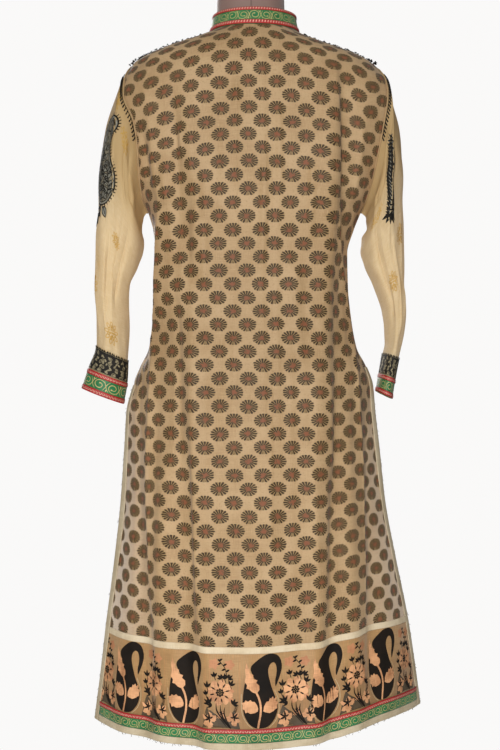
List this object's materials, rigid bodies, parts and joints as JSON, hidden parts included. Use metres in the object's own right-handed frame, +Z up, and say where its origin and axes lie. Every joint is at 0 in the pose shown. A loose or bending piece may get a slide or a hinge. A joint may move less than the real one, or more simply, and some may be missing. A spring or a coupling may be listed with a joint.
{
  "type": "long-sleeved kurti on a limbless dress form with a round stand",
  "caption": "Calf-length kurti with stand collar, sheer cuffed sleeves, side slits and a figured hem border, worn on a headless, armless dress form with a pole and round base.",
  "frame": {"origin": "centre of the base's underside, on the floor", "axes": "+Z up; the kurti's back faces -Y and its front +Y; +X is on the right of someone who looks at the back"},
  "size_m": [0.548, 0.336, 1.4973],
  "materials": {
    "buti_silk": "woven silk blend with small flower figures, slightly lustrous",
    "border_silk": "woven border with paisleys and flower sprays",
    "plain_cloth": "plain sheer cloth, matt",
    "binding": "plain woven strip, matt",
    "pale_tape": "plain woven tape, matt",
    "braid": "woven green and red braid with gold scrolls",
    "embroidery": "black thread embroidery",
    "form_cover": "smooth mauve-brown shell, satin",
    "stand_metal": "black painted steel, satin"
  },
  "bodies": {
    "root": {"back_panel": "buti_silk", "back_border": "border_silk", "border_seam_tape": "pale_tape", "hem_braid": "braid", "hem_facing": "binding", "slit_facing_left": "binding", "slit_facing_right": "binding", "front_panel": "plain_cloth", "neck_slit_band": "binding", "collar": "braid", "sleeve_left": "plain_cloth", "sleeve_right": "plain_cloth", "cuff_embroidery_left": "embroidery", "cuff_embroidery_right": "embroidery", "cuff_braid_left": "braid", "cuff_braid_right": "braid", "armhole_cord_left": "embroidery", "armhole_cord_right": "embroidery", "dress_form": "form_cover", "neck_cap": "stand_metal", "pole_socket": "stand_metal", "pole": "stand_metal", "stand_base": "stand_metal"}
  },
  "joints": []
}
